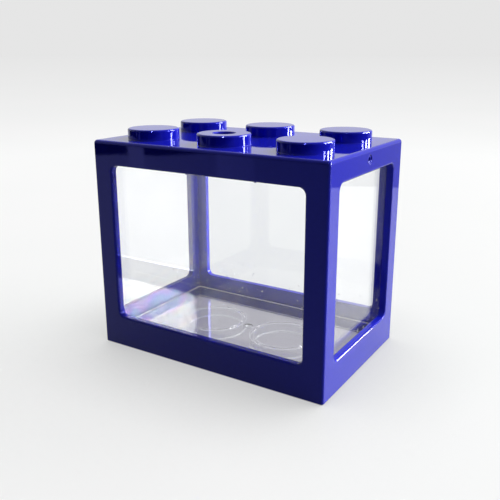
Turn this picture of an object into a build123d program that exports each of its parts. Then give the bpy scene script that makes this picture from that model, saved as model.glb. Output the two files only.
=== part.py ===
from build123d import *

import os
from math import sqrt

# Mini betta aquarium: a brick-shaped blue cover frame that drops over a clear tank.
# Millimetres. The origin is at the centre of the footprint, on the surface that the aquarium
# stands on. +X runs along the long side, -Y is the front and +Z is up. The cover frame is one
# moulding: a top plate with six studs, four corner posts and a base rail, open underneath. The
# tank is the other moulding: a clear box whose floor stands high enough on its skirt to take the
# studs of another aquarium stacked underneath, with two tubes that sit between those studs.

# Cover frame, outside
length = 120.7
depth = 78.5
plate_top = 101.0
corner_radius = 1.2
top_edge_radius = 1.5
foot_chamfer = 0.3

# Cover frame, walls
wall = 3.2
plate_thickness = 2.6
inside_corner_radius = 1.2

# Windows, alike on opposite sides
long_window_width = 100.2
long_window_top = 89.8
short_window_width = 58.9
short_window_top = 90.7
window_bottom = 15.2
window_corner_radius = 3.2
window_edge_radius = 0.9

# Studs: three along X and two along Y
stud_columns = 3
stud_rows = 2
stud_pitch = 40.0
stud_radius = 12.0
stud_height = 4.9
stud_rim_radius = 0.7
stud_wall = 2.4
stud_roof = 3.2

# Feed and air hole in the middle stud of the front row
feed_hole_radius = 5.0
feed_hole_chamfer = 0.4

# Two lamp pegs under the top plate, and the gate recess in the right-hand top rail
peg_spacing = 36.6
peg_setback = 16.4
peg_radius = 1.0
peg_length = 12.2
peg_tip_chamfer = 0.5
gate_recess_radius = 1.9
gate_recess_depth = 0.4
gate_recess_chamfer = 0.2
gate_recess_drop = 4.6
gate_pit_radius = 1.0
gate_pit_depth = 1.0

# Tank
tank_clearance = 0.8
rim_clearance = 0.3
tank_wall = 2.0
tank_corner_radius = 1.0
tank_inner_corner_radius = 0.6
tank_top = 95.4
rim_height = 5.0
rim_chamfer = 0.3
floor_top = 8.0
floor_thickness = 2.0

# Stacking tubes and the gate dimple under the tank floor
tube_wall = 2.0
tube_clearance = 0.1
tube_lift = 1.0
floor_gate_radius = 2.5
floor_gate_depth = 0.7
floor_gate_stub_radius = 0.9

# Worked out from the sizes above
plate_underside = plate_top - plate_thickness
stud_top = plate_top + stud_height
stud_recess_radius = stud_radius - stud_wall
stud_recess_top = stud_top - stud_roof
stud_shoulder = stud_height - stud_rim_radius
stud_flat_radius = stud_radius - stud_rim_radius
rim_step = stud_rim_radius * sqrt(0.5)
long_window_height = long_window_top - window_bottom
long_window_middle = (long_window_top + window_bottom) / 2
short_window_height = short_window_top - window_bottom
short_window_middle = (short_window_top + window_bottom) / 2
front_row_y = -stud_pitch / 2
peg_y = -depth / 2 + peg_setback
gate_recess_z = plate_top - gate_recess_drop
cavity_length = length - 2 * wall
cavity_depth = depth - 2 * wall
tank_length = cavity_length - 2 * tank_clearance
tank_depth = cavity_depth - 2 * tank_clearance
rim_length = cavity_length - 2 * rim_clearance
rim_depth = cavity_depth - 2 * rim_clearance
inner_length = tank_length - 2 * tank_wall
inner_depth = tank_depth - 2 * tank_wall
floor_underside = floor_top - floor_thickness
tube_radius = stud_pitch * sqrt(0.5) - stud_radius - tube_clearance
tube_bore_radius = tube_radius - tube_wall

# One stud, its rim rounded in two steps
with BuildPart() as stud:
    with BuildSketch(Plane.XZ):
        with BuildLine():
            side_end = (stud_radius, stud_shoulder)
            rim_middle = (stud_flat_radius + rim_step, stud_shoulder + rim_step)
            rim = Polyline(side_end, rim_middle, (stud_flat_radius, stud_height))
            Polyline(rim @ 1, (0, stud_height), (0, 0), (stud_radius, 0), rim @ 0)
        make_face()
    revolve(axis=Axis.Z)

# Cover frame
with BuildPart() as cover:
    with BuildSketch(Plane.XY):
        RectangleRounded(length, depth, corner_radius)
    extrude(amount=plate_top)
    fillet(cover.edges().group_by(Axis.Z)[-1], top_edge_radius)
    chamfer(cover.edges().group_by(Axis.Z)[0], foot_chamfer)

    # Hollow underneath, where the tank stands
    with BuildSketch(Plane.XY):
        RectangleRounded(cavity_length, cavity_depth, inside_corner_radius)
    extrude(amount=plate_underside, mode=Mode.SUBTRACT)

    # Studs, moulded hollow so that the walls stay even
    with Locations(Plane.XY.offset(plate_top)):
        with GridLocations(stud_pitch, stud_pitch, stud_columns, stud_rows):
            add(stud.part)
    with BuildSketch(Plane.XY.offset(plate_underside)):
        with GridLocations(stud_pitch, stud_pitch, stud_columns, stud_rows):
            Circle(stud_recess_radius)
    extrude(amount=stud_recess_top - plate_underside, mode=Mode.SUBTRACT)

    # Feed and air hole
    with Locations((0, front_row_y, stud_top)):
        Hole(feed_hole_radius, depth=stud_roof)
    hole_rim = cover.edges().filter_by(GeomType.CIRCLE).group_by(Axis.Z)[-1].sort_by(SortBy.RADIUS)[0]
    chamfer(hole_rim, feed_hole_chamfer)

    # Windows through the front and back, then through the two ends
    with BuildSketch(Plane.XZ):
        with Locations((0, long_window_middle)):
            RectangleRounded(long_window_width, long_window_height, window_corner_radius)
    extrude(amount=depth, both=True, mode=Mode.SUBTRACT)
    with BuildSketch(Plane.YZ):
        with Locations((0, short_window_middle)):
            RectangleRounded(short_window_width, short_window_height, window_corner_radius)
    extrude(amount=length, both=True, mode=Mode.SUBTRACT)
    for side in (Axis.X, Axis.Y):
        for outer_face in (cover.faces().sort_by(side)[0], cover.faces().sort_by(side)[-1]):
            fillet(outer_face.inner_wires()[0].edges(), window_edge_radius)

    # Gate recess with a pit where the runner broke off, in the middle of the right-hand top rail
    gate_plane = Plane.YZ.offset(length / 2)
    with BuildSketch(gate_plane):
        with Locations((0, gate_recess_z)):
            Circle(gate_recess_radius)
    extrude(amount=-gate_recess_depth, mode=Mode.SUBTRACT)
    gate_rim = cover.faces().sort_by(Axis.X)[-1].edges().filter_by(GeomType.CIRCLE).sort_by(Edge.length)[-1]
    chamfer(gate_rim, gate_recess_chamfer)
    with BuildSketch(gate_plane.offset(-gate_recess_depth)):
        with Locations((0, gate_recess_z)):
            Circle(gate_pit_radius)
    extrude(amount=-gate_pit_depth, mode=Mode.SUBTRACT)

    # Lamp pegs, round at the tip
    with BuildSketch(Plane.XY.offset(plate_underside - peg_length)):
        with Locations((-peg_spacing / 2, peg_y), (peg_spacing / 2, peg_y)):
            Circle(peg_radius)
    extrude(amount=peg_length)
    chamfer(cover.edges(Select.LAST).group_by(Axis.Z)[0], peg_tip_chamfer)

cover.part.label = "cover_frame"

# Tank
with BuildPart() as tank:
    with BuildSketch(Plane.XY):
        RectangleRounded(tank_length, tank_depth, tank_corner_radius)
    extrude(amount=tank_top)

    # Rim that centres the tank in the cover frame
    with BuildSketch(Plane.XY.offset(tank_top - rim_height)):
        RectangleRounded(rim_length, rim_depth, tank_corner_radius)
    extrude(amount=rim_height)
    chamfer(tank.edges().group_by(Axis.Z)[-1], rim_chamfer)

    # Water space above the floor
    with BuildSketch(Plane.XY.offset(floor_top)):
        RectangleRounded(inner_length, inner_depth, tank_inner_corner_radius)
    extrude(amount=tank_top - floor_top, mode=Mode.SUBTRACT)

    # Skirt below the floor
    with BuildSketch(Plane.XY):
        RectangleRounded(inner_length, inner_depth, tank_inner_corner_radius)
    extrude(amount=floor_underside, mode=Mode.SUBTRACT)

    # Stacking tubes, each between four studs of the aquarium underneath
    with BuildSketch(Plane.XY.offset(tube_lift)):
        with GridLocations(stud_pitch, 0, stud_columns - 1, 1):
            Circle(tube_radius)
            Circle(tube_bore_radius, mode=Mode.SUBTRACT)
    extrude(amount=floor_underside - tube_lift)

    # Gate dimple in the middle of the floor's underside
    with BuildSketch(Plane.XY.offset(floor_underside)):
        Circle(floor_gate_radius)
        Circle(floor_gate_stub_radius, mode=Mode.SUBTRACT)
    extrude(amount=floor_gate_depth, mode=Mode.SUBTRACT)

tank.part.label = "tank"

os.makedirs("parts", exist_ok=True)
for piece in (cover, tank):
    export_step(piece.part, f"parts/{piece.part.label}.step")
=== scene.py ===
"""Looks of the mini betta aquarium: a blue cover frame over a clear tank, on a white table.

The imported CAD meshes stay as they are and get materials. The table, the light, the cards that the
gloss mirrors and the camera are made around them. Lengths are in metres and angles in degrees.
Azimuth 0 is the aquarium's front and 90 its right-hand side. Colours are linear, and 1 is white.
"""
from math import cos, pi, radians, sin

import bpy
from mathutils import Matrix, Vector

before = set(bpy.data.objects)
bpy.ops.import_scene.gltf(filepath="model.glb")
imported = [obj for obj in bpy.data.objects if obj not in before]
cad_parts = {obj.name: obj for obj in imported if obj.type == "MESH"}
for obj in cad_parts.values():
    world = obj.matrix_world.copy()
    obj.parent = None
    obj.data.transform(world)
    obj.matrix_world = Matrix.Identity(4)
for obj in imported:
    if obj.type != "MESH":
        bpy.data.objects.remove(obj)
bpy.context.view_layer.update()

# The photograph's camera, fitted to the aquarium's corners. It aims at AIM_HEIGHT over the origin
# and then shifts to its own right and up. The sensor is in millimetres, as Blender takes it.
PICTURE_SIZE = 500
CAMERA_AZIMUTH = 31.87
CAMERA_ELEVATION = 15.84
CAMERA_ROLL = -0.06
CAMERA_DISTANCE = 0.3134
FOCAL_LENGTH_PIXELS = 644.1
VIEW_CENTRE_PIXEL = (251.7, 236.9)
AIM_HEIGHT = 0.050
AIM_RIGHT = 0.00147
AIM_UP = 0.00357
SENSOR_WIDTH = 36.0
CLIP_START = 0.01
CLIP_END = 200.0

# Noise stays mostly between these values, so a blend of two colours runs from one to the other
NOISE_LOW = 0.3
NOISE_HIGH = 0.7

# In what follows, a PATTERN is a noise: its features in a metre, its octaves, and how strong the
# finer octaves are. A GRAIN stretches a pattern: its scale and its turn in radians along X, Y and
# Z. A MAP is what a value runs over and what that becomes. A RELIEF is its depth and strength.

# Blue plastic
BLUE_PIGMENT = ((0.008, 0.010, 0.38), (0.011, 0.014, 0.46))
BLUE_SPOTS = (0.006, 0.008, 0.34)
BLUE_GLOSS_TINT = (0.12, 0.14, 1.0)
BLUE_REFRACTION = 1.54
FLOW_PATTERN = (9.0, 3.0, 0.55)
FLOW_GRAIN = ((1.0, 1.0, 0.45), (0.0, 0.0, 0.0))
SPOT_PATTERN = (700.0, 2.0, 0.5)
SPOT_MAP = ((0.35, 0.75), (0.0, 0.25))
FINE_DUST_PATTERN = (240.0, 4.0, 0.6)
FINE_DUST_ROUGHNESS_MAP = ((0.4, 0.8), (0.02, 0.045))
BLUE_HAIRLINE_PATTERN = (60.0, 6.0, 0.7)
BLUE_HAIRLINE_GRAIN = ((1.0, 60.0, 6.0), (0.3, 0.5, 0.9))
BLUE_HAIRLINE_ROUGHNESS_MAP = ((0.62, 0.8), (0.0, 0.05))
BLUE_WAVE_PATTERN = (26.0, 1.0, 0.3)
BLUE_WAVE_RELIEF = (0.00022, 0.55)
BLUE_SKIN_PATTERN = (1500.0, 2.0, 0.6)
BLUE_SKIN_RELIEF = (0.000006, 0.4)
EDGE_ROUNDING = 0.0003
EDGE_ROUNDING_SAMPLES = 6

# Clear plastic
CLEAR_TINT = ((0.955, 0.962, 0.975), (0.985, 0.990, 0.995))
CLEAR_REFRACTION = 1.49
HAZE_PATTERN = (14.0, 4.0, 0.6)
SPECK_PATTERN = (900.0, 1.0, 0.4)
SPECK_ROUGHNESS_MAP = ((0.66, 0.8), (0.0, 0.10))
SCRATCH_PATTERN = (50.0, 6.0, 0.7)
SCRATCH_GRAIN = ((40.0, 1.0, 4.0), (0.2, 0.4, 0.7))
SCRATCH_ROUGHNESS_MAP = ((0.66, 0.85), (0.0, 0.05))
CLEAR_WAVE_PATTERN = (22.0, 1.0, 0.3)
CLEAR_WAVE_RELIEF = (0.00012, 0.35)

# Coloured glare around the foot of the tank's left wall: a film on the clear plastic, thickest at
# FILM_CENTRE, that thins out to nothing over FILM_REACH, and over more or less along X, Y and Z
FILM_CENTRE = (-0.056, 0.0, 0.008)
FILM_REACH = 0.036
FILM_STRETCH = (1.0, 0.35, 1.5)
FILM_NANOMETRES = 760.0
FILM_REFRACTION = 1.57
FILM_EDGE_PATTERN = (60.0, 3.0, 0.5)
FILM_EDGE_MAP = ((0.3, 0.7), (-0.006, 0.006))

# Dust specks on the tank, from just above its floor to a little way up its walls, painted as pale
# spots that glow by themselves; the tube rings below glow in the same colours
DUST_AND_RING_GLOW_COLOURS = ((0.55, 0.55, 0.62), (0.68, 0.68, 0.74))
GLOWING_DUST_PATTERN = (520.0, 1.0, 0.4)
GLOWING_DUST_MAP = ((0.72, 0.77), (0.0, 1.0))
GLOWING_DUST_START_MAP = ((0.0081, 0.0086), (0.0, 0.6))
GLOWING_DUST_END_MAP = ((0.018, 0.030), (0.6, 0.0))

# The two tubes under the tank floor, with a painted highlight along the edges of their walls: pale
# rings that glow by themselves
TUBE_CENTRE = (0.020, 0.0, 0.0)
TUBE_MIDDLE_RADIUS = 0.01518
TUBE_HALF_WALL = 0.001
TUBE_MIDDLE_HEIGHT = 0.0035
RING_GLOW_ACROSS_MAP = ((0.0002, 0.0004), (0.5, 0.0))
RING_GLOW_START_MAP = ((0.0020, 0.0023), (0.0, 1.0))
RING_GLOW_END_MAP = ((0.0026, 0.0030), (1.0, 0.0))
IN_PLAN = (1.0, 1.0, 0.0)

# White table. The camera, the gloss and the clear plastic see it shine by itself, less so within
# SHADE_REACH of the aquarium. All other rays see a dark matt surface of FLOOR_BOUNCE, so that
# little light comes from below. From FLOOR_NEAR outwards it fades into HORIZON_WHITE.
FLOOR_SIZE = 60.0
FLOOR_DROP = 0.0002
FLOOR_WHITE = ((0.100, 0.1015, 0.1008), (0.103, 0.103, 0.103))
FLOOR_BOUNCE = (0.06, 0.062, 0.07)
FLOOR_SHADE = (0.104, 0.100, 0.119)
FLOOR_PATTERN = (3.0, 3.0, 0.5)
FLOOR_ROUGHNESS = 0.6
FLOOR_GLOSS = 0.2
FLOOR_NEAR = 0.7
FLOOR_OWN_LIGHT = 7.4
SHADE_REACH = 0.06
SHADE_SAMPLES = 8
SHADED_SHARE = 0.42
SHADE_COLOUR_END = 0.7
HORIZON_WHITE = 0.79

# Cards standing on the table, outside the picture, for the plastic to mirror: radius, height,
# azimuths of both ends, and brightness, where the two strips outshine white
CARDS = (
    ("dark_card", 0.70, 0.08, -90.0, 134.0, 0.02),
    ("grey_card", 0.45, 0.06, 134.0, 168.0, 0.39),
    ("pale_strip", 0.475, 0.06, -31.5, -26.4, 1.2),
    ("narrow_pale_strip", 0.50, 0.06, -43.0, -41.0, 1.15),
)
CARD_STEPS = 24
CARD_PATTERN = (2.0, 3.0, 0.5)
CARD_SHARES = (0.7, 1.3)
CARD_ROUGHNESS = 0.8

# Light around the object: dim everywhere, with round patches of azimuth, elevation, reach and
# brightness
SURROUND_DIM = 0.02
SURROUND = (
    (210.0, 10.0, 50.0, 0.4),
    (142.0, 20.0, 46.0, 9.0),
    (140.0, 68.0, 40.0, 1.6),
)

# Lamps for the glints only, a ceiling lamp and a window of three tall panes under a wide one:
# azimuth, elevation, distance, width, height and brightness
LAMPS = (
    ("ceiling_lamp", 29.0, 38.0, 1.6, 0.09, 0.09, 400.0),
    ("window_top", 125.0, 22.0, 1.5, 1.15, 0.37, 34.0),
    ("window_pane_0", 105.0, 7.0, 1.5, 0.20, 0.22, 120.0),
    ("window_pane_1", 125.0, 7.0, 1.5, 0.20, 0.22, 120.0),
    ("window_pane_2", 145.0, 7.0, 1.5, 0.20, 0.22, 120.0),
)


def direction(azimuth, elevation):
    """Unit vector from the aquarium towards a place in the room."""
    a, e = radians(azimuth), radians(elevation)
    return Vector((sin(a) * cos(e), -cos(a) * cos(e), sin(e)))


def place(name, data):
    """Puts an object that isn't part of the aquarium into the scene."""
    thing = bpy.data.objects.new(name, data)
    bpy.context.scene.collection.objects.link(thing)
    return thing


def make_camera():
    """The photograph's camera, a little rolled and with its picture off the lens axis."""
    back = direction(CAMERA_AZIMUTH, CAMERA_ELEVATION)
    level = Vector((0, 0, 1)).cross(back).normalized()
    upright = back.cross(level)
    roll = radians(CAMERA_ROLL)
    right = level * cos(roll) + upright * sin(roll)
    up = upright * cos(roll) - level * sin(roll)
    aim = Vector((0, 0, AIM_HEIGHT)) + right * AIM_RIGHT + up * AIM_UP
    data = bpy.data.cameras.new("photo_camera")
    data.sensor_width = SENSOR_WIDTH
    data.lens = FOCAL_LENGTH_PIXELS / PICTURE_SIZE * SENSOR_WIDTH
    data.shift_x = 0.5 - VIEW_CENTRE_PIXEL[0] / PICTURE_SIZE
    data.shift_y = VIEW_CENTRE_PIXEL[1] / PICTURE_SIZE - 0.5
    data.clip_start = CLIP_START
    data.clip_end = CLIP_END
    camera = place("photo_camera", data)
    turn = Matrix((right, up, back)).transposed().to_4x4()
    camera.matrix_world = Matrix.Translation(aim + back * CAMERA_DISTANCE) @ turn
    bpy.context.scene.camera = camera


class Nodes:
    """A node tree, built by short calls that take a number, a colour or another node's output."""

    def __init__(self, tree):
        self.tree = tree
        self.tree.nodes.clear()

    def add(self, kind, **settings):
        node = self.tree.nodes.new(kind)
        for key, value in settings.items():
            setattr(node, key, value)
        return node

    def feed(self, socket, value):
        """Links a socket to another node's output, or sets it to a constant."""
        if isinstance(value, bpy.types.NodeSocket):
            self.tree.links.new(value, socket)
        elif socket.type == "RGBA":
            socket.default_value = (*value, 1.0)
        else:
            socket.default_value = value

    def math(self, operation, *values):
        node = self.add("ShaderNodeMath", operation=operation)
        for socket, value in zip(node.inputs, values):
            self.feed(socket, value)
        return node.outputs["Value"]

    def vector_math(self, operation, *values):
        node = self.add("ShaderNodeVectorMath", operation=operation)
        for socket, value in zip(node.inputs, values):
            self.feed(socket, value)
        return node.outputs["Value" if operation in ("LENGTH", "DOT_PRODUCT") else "Vector"]

    def remap(self, source, old, new, interpolation="LINEAR"):
        """Carries a value from the old range to the new one, and holds it there beyond the ends."""
        node = self.add("ShaderNodeMapRange", interpolation_type=interpolation)
        ends = {"From Min": old[0], "From Max": old[1], "To Min": new[0], "To Max": new[1]}
        for name, value in {**ends, "Value": source}.items():
            self.feed(node.inputs[name], value)
        return node.outputs["Result"]

    def mix(self, factor, a, b):
        """Colour a where the factor is 0 and colour b where it is 1."""
        node = self.add("ShaderNodeMix", data_type="RGBA")
        self.feed(node.inputs["Factor"], factor)
        for name, value in (("A", a), ("B", b)):
            socket = next(s for s in node.inputs if s.name == name and s.type == "RGBA")
            self.feed(socket, value)
        return next(s for s in node.outputs if s.type == "RGBA")

    def seen_rays(self):
        """1 for rays that show what they hit, directly, mirrored or through the tank, else 0."""
        path = self.add("ShaderNodeLightPath")
        seen = path.outputs["Is Camera Ray"]
        for kind in ("Is Glossy Ray", "Is Transmission Ray"):
            seen = self.math("MAXIMUM", seen, path.outputs[kind])
        return seen


class Paint(Nodes):
    """A material's node tree."""

    def __init__(self, name):
        self.material = bpy.data.materials.new(name)
        self.material.use_nodes = True
        super().__init__(self.material.node_tree)

    def position(self):
        return self.add("ShaderNodeTexCoord").outputs["Object"]

    def noise(self, pattern, grain=None):
        """A pattern's value, mostly between NOISE_LOW and NOISE_HIGH."""
        where = self.position()
        if grain:
            mapping = self.add("ShaderNodeMapping")
            for name, value in zip(("Scale", "Rotation", "Vector"), (*grain, where)):
                self.feed(mapping.inputs[name], value)
            where = mapping.outputs["Vector"]
        node = self.add("ShaderNodeTexNoise")
        for name, value in zip(("Scale", "Detail", "Roughness", "Vector"), (*pattern, where)):
            self.feed(node.inputs[name], value)
        return node.outputs["Fac"]

    def blend(self, source, colours):
        """A colour between two, where a noise goes from low to high."""
        node = self.add("ShaderNodeValToRGB")
        stops = zip(node.color_ramp.elements, (NOISE_LOW, NOISE_HIGH), colours)
        for element, position, colour in stops:
            element.position = position
            element.color = (*colour, 1.0)
        self.feed(node.inputs["Fac"], source)
        return node.outputs["Color"]

    def bump(self, height, relief, below=None):
        """A normal with a pattern pressed into it, on top of the normal below."""
        node = self.add("ShaderNodeBump")
        for name, value in zip(("Distance", "Strength", "Height"), (*relief, height)):
            self.feed(node.inputs[name], value)
        if below:
            self.feed(node.inputs["Normal"], below)
        return node.outputs["Normal"]

    def principled(self, **inputs):
        node = self.add("ShaderNodeBsdfPrincipled")
        for name, value in inputs.items():
            socket = name.replace("_", " ").title().replace("Ior", "IOR")
            self.feed(node.inputs[socket], value)
        return node.outputs["BSDF"]

    def emission(self, **inputs):
        node = self.add("ShaderNodeEmission")
        for name, value in inputs.items():
            self.feed(node.inputs[name.title()], value)
        return node.outputs["Emission"]

    def mix_shaders(self, factor, a, b):
        """Shader a where the factor is 0 and shader b where it is 1."""
        node = self.add("ShaderNodeMixShader")
        for socket, value in zip(node.inputs, (factor, a, b)):
            self.feed(socket, value)
        return node.outputs["Shader"]

    def finish(self, surface):
        output = self.add("ShaderNodeOutputMaterial")
        self.feed(output.inputs["Surface"], surface)
        return self.material


def blue_plastic():
    """Opaque plastic: deep blue, glossy, with faint flow marks, waves, spots and hairlines."""
    paint = Paint("blue_plastic")
    pigment = paint.blend(paint.noise(FLOW_PATTERN, FLOW_GRAIN), BLUE_PIGMENT)
    colour = paint.mix(paint.remap(paint.noise(SPOT_PATTERN), *SPOT_MAP), pigment, BLUE_SPOTS)
    dust = paint.noise(FINE_DUST_PATTERN)
    hairlines = paint.noise(BLUE_HAIRLINE_PATTERN, BLUE_HAIRLINE_GRAIN)
    roughness = paint.math("ADD", paint.remap(dust, *FINE_DUST_ROUGHNESS_MAP),
                           paint.remap(hairlines, *BLUE_HAIRLINE_ROUGHNESS_MAP))
    rounded = paint.add("ShaderNodeBevel", samples=EDGE_ROUNDING_SAMPLES)
    rounded.inputs["Radius"].default_value = EDGE_ROUNDING
    waves = paint.bump(paint.noise(BLUE_WAVE_PATTERN), BLUE_WAVE_RELIEF, rounded.outputs["Normal"])
    skin = paint.bump(paint.noise(BLUE_SKIN_PATTERN), BLUE_SKIN_RELIEF, waves)
    return paint.finish(paint.principled(
        base_color=colour, roughness=roughness, normal=skin, ior=BLUE_REFRACTION,
        specular_tint=BLUE_GLOSS_TINT))


def film_thickness(paint):
    """Thickness of the film that colours the glare at the foot of the left wall."""
    away = paint.vector_math("SUBTRACT", paint.position(), FILM_CENTRE)
    distance = paint.vector_math("LENGTH", paint.vector_math("MULTIPLY", away, FILM_STRETCH))
    ragged = paint.remap(paint.noise(FILM_EDGE_PATTERN), *FILM_EDGE_MAP)
    return paint.remap(paint.math("ADD", distance, ragged), (0.0, FILM_REACH),
                       (FILM_NANOMETRES, 0.0))


def glowing_dust_share(paint, height):
    """Share of glowing dust specks, painted light, over the clear plastic at each place on the
    lower tank walls.
    """
    above_floor = paint.remap(height, *GLOWING_DUST_START_MAP)
    low = paint.math("MINIMUM", above_floor, paint.remap(height, *GLOWING_DUST_END_MAP))
    return paint.math("MULTIPLY", paint.remap(paint.noise(GLOWING_DUST_PATTERN), *GLOWING_DUST_MAP), low)


def ring_glow_share(paint, height):
    """Share of painted highlight, a pale glow, along the four edges, inner and outer, top and
    bottom, of each tube's wall.
    """
    folded = paint.vector_math("ABSOLUTE", paint.position())
    away = paint.vector_math("SUBTRACT", folded, TUBE_CENTRE)
    radius = paint.vector_math("LENGTH", paint.vector_math("MULTIPLY", away, IN_PLAN))
    off_wall = paint.math("ABSOLUTE", paint.math("SUBTRACT", radius, TUBE_MIDDLE_RADIUS))
    off_side = paint.math("ABSOLUTE", paint.math("SUBTRACT", off_wall, TUBE_HALF_WALL))
    off_middle = paint.math("ABSOLUTE", paint.math("SUBTRACT", height, TUBE_MIDDLE_HEIGHT))
    on_end = paint.math("MULTIPLY", paint.remap(off_middle, *RING_GLOW_START_MAP),
                        paint.remap(off_middle, *RING_GLOW_END_MAP))
    return paint.math("MULTIPLY", paint.remap(off_side, *RING_GLOW_ACROSS_MAP), on_end)


def clear_plastic():
    """Clear plastic with faint haze, specks, scratches and waves, a coloured glare, and painted
    light: dust specks and tube rings that glow by themselves.
    """
    paint = Paint("clear_plastic")
    haze = paint.noise(HAZE_PATTERN)
    specks = paint.noise(SPECK_PATTERN)
    scratches = paint.noise(SCRATCH_PATTERN, SCRATCH_GRAIN)
    roughness = paint.math("ADD", paint.remap(specks, *SPECK_ROUGHNESS_MAP),
                           paint.remap(scratches, *SCRATCH_ROUGHNESS_MAP))
    clear = paint.principled(
        base_color=paint.blend(haze, CLEAR_TINT), roughness=roughness, transmission_weight=1.0,
        normal=paint.bump(paint.noise(CLEAR_WAVE_PATTERN), CLEAR_WAVE_RELIEF),
        ior=CLEAR_REFRACTION, thin_film_thickness=film_thickness(paint),
        thin_film_ior=FILM_REFRACTION)
    parts = paint.add("ShaderNodeSeparateXYZ")
    paint.feed(parts.inputs["Vector"], paint.position())
    height = parts.outputs["Z"]
    # Painted light: the dust specks and the tube rings glow by themselves in pale colours where
    # their share is high
    painted_glow = paint.emission(color=paint.blend(haze, DUST_AND_RING_GLOW_COLOURS))
    share = paint.math("MAXIMUM", glowing_dust_share(paint, height), ring_glow_share(paint, height))
    return paint.finish(paint.mix_shaders(share, clear, painted_glow))


def pale_floor():
    """White table that keeps the aquarium's shadow and runs into the background with distance."""
    paint = Paint("pale_floor")
    seen = paint.seen_rays()
    white = paint.blend(paint.noise(FLOOR_PATTERN), FLOOR_WHITE)
    openness = paint.add("ShaderNodeAmbientOcclusion", samples=SHADE_SAMPLES)
    openness.inputs["Distance"].default_value = SHADE_REACH
    light = paint.remap(openness.outputs["AO"], (0.0, 1.0), (SHADED_SHARE, 1.0))
    out_of_shade = paint.remap(light, (SHADED_SHARE, SHADE_COLOUR_END), (0.0, 1.0))
    own_light = paint.math("MULTIPLY", light, FLOOR_OWN_LIGHT)
    near = paint.principled(
        base_color=paint.mix(seen, FLOOR_BOUNCE, white), roughness=FLOOR_ROUGHNESS,
        specular_ior_level=FLOOR_GLOSS, emission_color=paint.mix(out_of_shade, FLOOR_SHADE, white),
        emission_strength=paint.math("MULTIPLY", seen, own_light))
    far = paint.emission(strength=paint.math("MULTIPLY", seen, HORIZON_WHITE))
    distance = paint.vector_math("LENGTH", paint.position())
    nearness = paint.math("DIVIDE", FLOOR_NEAR, distance)
    return paint.finish(paint.mix_shaders(
        paint.remap(nearness, (0.0, 1.0), (1.0, 0.0)), near, far))


def make_floor():
    half = FLOOR_SIZE / 2
    corners = [(-half, -half, 0), (half, -half, 0), (half, half, 0), (-half, half, 0)]
    mesh = bpy.data.meshes.new("pale_floor")
    mesh.from_pydata(corners, [], [(0, 1, 2, 3)])
    mesh.materials.append(pale_floor())
    floor = place("pale_floor", mesh)
    floor.location.z = -FLOOR_DROP


def card_paint(name, brightness):
    """Matt paper that shines by itself, a little unevenly."""
    paint = Paint(name)
    greys = [(share * brightness,) * 3 for share in CARD_SHARES]
    return paint.finish(paint.principled(
        base_color=(0.0, 0.0, 0.0), roughness=CARD_ROUGHNESS, specular_ior_level=0.0,
        emission_strength=1.0, emission_color=paint.blend(paint.noise(CARD_PATTERN), greys)))


def make_card(name, radius, height, from_azimuth, to_azimuth, brightness):
    """An upright card, bent round the aquarium, that neither the camera nor any shadow shows."""
    vertices, faces = [], []
    for step in range(CARD_STEPS + 1):
        azimuth = from_azimuth + (to_azimuth - from_azimuth) * step / CARD_STEPS
        foot = direction(azimuth, 0.0) * radius
        vertices += [(foot.x, foot.y, 0.0), (foot.x, foot.y, height)]
    for step in range(CARD_STEPS):
        first = 2 * step
        faces.append((first, first + 2, first + 3, first + 1))
    mesh = bpy.data.meshes.new(name)
    mesh.from_pydata(vertices, [], faces)
    mesh.materials.append(card_paint(name, brightness))
    card = place(name, mesh)
    card.visible_camera = False
    card.visible_transmission = False
    card.visible_shadow = False


def make_world():
    """White background for the rays that show it, and the soft light of SURROUND for the rest."""
    world = bpy.data.worlds.new("studio")
    bpy.context.scene.world = world
    world.use_nodes = True
    sky = Nodes(world.node_tree)
    where = sky.add("ShaderNodeTexCoord").outputs["Generated"]
    light = SURROUND_DIM
    for azimuth, elevation, reach, brightness in SURROUND:
        facing = sky.vector_math("DOT_PRODUCT", where, direction(azimuth, elevation))
        patch = sky.remap(facing, (cos(radians(reach)), 1.0), (0.0, brightness), "SMOOTHSTEP")
        light = sky.math("ADD", patch, light)
    shown = sky.add("ShaderNodeMix", data_type="FLOAT")
    for name, value in (("Factor", sky.seen_rays()), ("A", light), ("B", HORIZON_WHITE)):
        sky.feed(shown.inputs[name], value)
    background = sky.add("ShaderNodeBackground")
    sky.feed(background.inputs["Color"], shown.outputs["Result"])
    output = sky.add("ShaderNodeOutputWorld")
    sky.feed(output.inputs["Surface"], background.outputs["Background"])


def make_lamp(name, azimuth, elevation, distance, width, height, brightness):
    """A rectangular lamp that faces the aquarium and shows only as a glint in its gloss."""
    data = bpy.data.lights.new(name, "AREA")
    data.shape = "RECTANGLE"
    data.size = width
    data.size_y = height
    data.energy = brightness * pi * width * height
    lamp = place(name, data)
    away = direction(azimuth, elevation)
    lamp.location = Vector((0, 0, AIM_HEIGHT)) + away * distance
    lamp.rotation_euler = away.to_track_quat("Z", "Y").to_euler()
    lamp.visible_camera = False
    lamp.visible_diffuse = False


bpy.context.scene.view_settings.view_transform = "Standard"
make_camera()
make_world()
for lamp_sizes in LAMPS:
    make_lamp(*lamp_sizes)
make_floor()
for card_sizes in CARDS:
    make_card(*card_sizes)
for node, material in (("cover_frame", blue_plastic()), ("tank", clear_plastic())):
    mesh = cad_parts[node].data
    mesh.materials.clear()
    mesh.materials.append(material)
